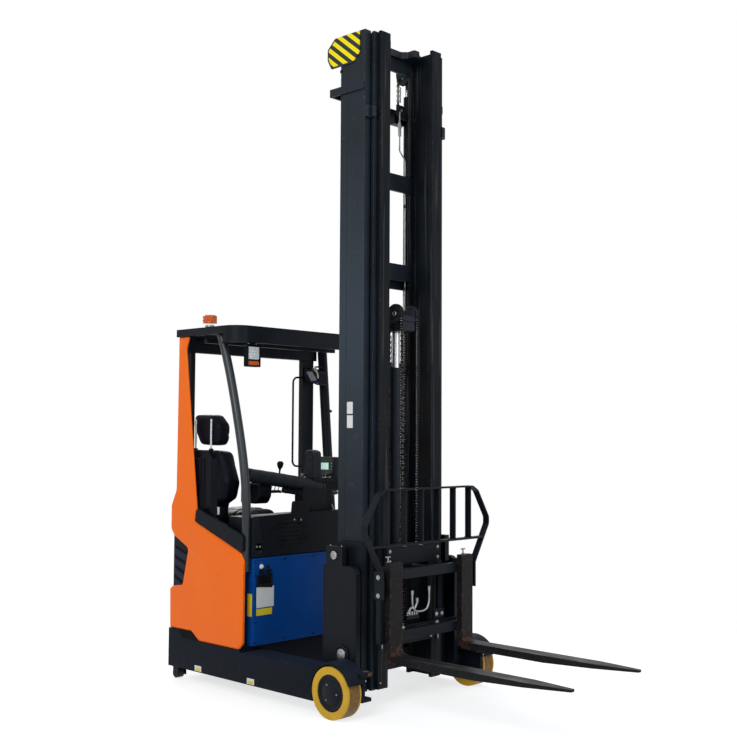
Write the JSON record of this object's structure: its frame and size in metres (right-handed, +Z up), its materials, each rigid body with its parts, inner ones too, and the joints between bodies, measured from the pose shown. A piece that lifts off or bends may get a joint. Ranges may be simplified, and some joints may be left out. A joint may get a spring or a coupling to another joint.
{
  "type": "reach truck",
  "caption": "Sit-on reach truck with a three-stage mast that slides forward on two legs, tilting and side-shifting forks, overhead guard and a battery box.",
  "frame": {"origin": "on the floor under the middle of the truck's bounding box", "axes": "+X towards the fork tips, +Y to the entry side, +Z up"},
  "size_m": [2.824, 1.27, 3.92],
  "materials": {
    "frame_black": "satin",
    "orange_paint": "gloss",
    "black_plastic": "textured",
    "battery_blue": "satin",
    "cast_mass": "rough",
    "tread_yellow": "worn",
    "castor_black": "worn",
    "seat_vinyl": "grained",
    "beacon_orange": "clear",
    "hazard_stripes": "satin",
    "cylinder_black": "satin",
    "rod_chrome": "polished",
    "chain_steel": "oiled",
    "fork_steel": "worn"
  },
  "bodies": {
    "chassis": {"arm_console": "black_plastic", "battery_box": "battery_blue", "beacon": "beacon_orange", "cabin_front": "frame_black", "chassis_frame": "frame_black", "dash_bar": "seat_vinyl", "dashboard": "black_plastic", "display": "black_plastic", "front_pillars": "frame_black", "guard_roof": "frame_black", "headrest": "seat_vinyl", "instrument_pod": "black_plastic", "monitor": "black_plastic", "motor_block": "cast_mass", "reach_barrel": "cylinder_black", "reach_leg_left": "frame_black", "reach_leg_right": "frame_black", "rear_cover": "orange_paint", "rear_posts": "frame_black", "roof_bars": "frame_black", "seat_back": "seat_vinyl", "seat_base": "frame_black", "seat_cushion": "seat_vinyl", "side_panel_left": "orange_paint", "side_panel_right": "orange_paint", "side_trim_right": "black_plastic", "steering_column": "frame_black", "work_light": "frame_black"},
    "drive_unit": {"drive_unit": "frame_black"},
    "drive_wheel": {"drive_wheel": "tread_yellow"},
    "castor_fork": {"castor_fork": "frame_black"},
    "castor_wheel": {"castor_wheel": "castor_black"},
    "load_wheel_right": {"load_wheel_right": "tread_yellow"},
    "load_wheel_left": {"load_wheel_left": "tread_yellow"},
    "steering_wheel": {"steering_wheel": "black_plastic"},
    "reach_carriage": {"reach_carriage": "frame_black", "mast_outer": "frame_black", "outer_ties": "frame_black", "hazard_plates": "hazard_stripes", "lift_barrels": "cylinder_black", "reach_rod": "rod_chrome"},
    "mast_middle": {"mast_middle": "frame_black", "middle_ties": "frame_black", "lift_rods": "rod_chrome", "middle_chains": "chain_steel"},
    "mast_inner": {"mast_inner": "frame_black", "inner_ties": "frame_black", "free_lift_barrel": "cylinder_black"},
    "crosshead": {"crosshead": "chain_steel"},
    "fork_carriage": {"fork_carriage": "frame_black", "tilt_cylinders": "cylinder_black"},
    "tilt_rods": {"tilt_rods": "rod_chrome"},
    "tilt_frame": {"tilt_frame": "frame_black"},
    "sideshift": {"sideshift_frame": "frame_black", "fork_right": "fork_steel", "fork_left": "fork_steel", "load_backrest": "frame_black"}
  },
  "joints": [
    {"name": "reach", "type": "slide", "parent": "chassis", "child": "reach_carriage", "axis": [1, 0, 0], "range_m": [-0.41, 0]},
    {"name": "mast_lift", "type": "slide", "parent": "reach_carriage", "child": "mast_middle", "axis": [0, 0, 1], "range_m": [0, 2.9]},
    {"name": "mast_inner_lift", "type": "slide", "parent": "mast_middle", "child": "mast_inner", "axis": [0, 0, 1], "range_m": [0, 2.9]},
    {"name": "fork_lift", "type": "slide", "parent": "mast_inner", "child": "fork_carriage", "axis": [0, 0, 1], "range_m": [-0.28, 2.4]},
    {"name": "crosshead_lift", "type": "slide", "parent": "mast_inner", "child": "crosshead", "axis": [0, 0, 1], "range_m": [-0.14, 1.2]},
    {"name": "fork_tilt", "type": "hinge", "parent": "fork_carriage", "child": "tilt_frame", "pos_m": [0.132, 0, 0.4], "axis": [0, -1, 0], "range_deg": [-2, 4]},
    {"name": "tilt_rod_slide", "type": "slide", "parent": "fork_carriage", "child": "tilt_rods", "axis": [-1, 0, 0], "range_m": [-0.01267, 0.02523]},
    {"name": "sideshift", "type": "slide", "parent": "tilt_frame", "child": "sideshift", "axis": [0, 1, 0], "range_m": [-0.05, 0.05]},
    {"name": "load_wheel_right_spin", "type": "hinge", "parent": "chassis", "child": "load_wheel_right", "pos_m": [0.066, -0.585, 0.1425], "axis": [0, 1, 0], "continuous": true},
    {"name": "load_wheel_left_spin", "type": "hinge", "parent": "chassis", "child": "load_wheel_left", "pos_m": [0.066, 0.585, 0.1425], "axis": [0, 1, 0], "continuous": true},
    {"name": "drive_steer", "type": "hinge", "parent": "chassis", "child": "drive_unit", "pos_m": [-1.149, 0, 0.1715], "axis": [0, 0, 1], "range_deg": [-90, 90]},
    {"name": "drive_spin", "type": "hinge", "parent": "drive_unit", "child": "drive_wheel", "pos_m": [-1.149, 0, 0.1715], "axis": [0, 1, 0], "continuous": true},
    {"name": "castor_swivel", "type": "hinge", "parent": "chassis", "child": "castor_fork", "pos_m": [-1.356, -0.58, 0.13], "axis": [0, 0, 1], "continuous": true},
    {"name": "castor_spin", "type": "hinge", "parent": "castor_fork", "child": "castor_wheel", "pos_m": [-1.374, -0.58, 0.03], "axis": [0, 1, 0], "continuous": true},
    {"name": "steering", "type": "hinge", "parent": "chassis", "child": "steering_wheel", "pos_m": [-1.064, 0.36, 1.145], "axis": [0, 0, 1], "range_deg": [-540, 540]}
  ],
  "couplings": [
    {"joint": "mast_inner_lift", "follows": "mast_lift", "ratio": 1},
    {"joint": "crosshead_lift", "follows": "fork_lift", "ratio": 0.5},
    {"joint": "tilt_rod_slide", "follows": "fork_tilt", "m_per_rad": 0.36},
    {"joint": "steering", "follows": "drive_steer", "ratio": 6}
  ]
}
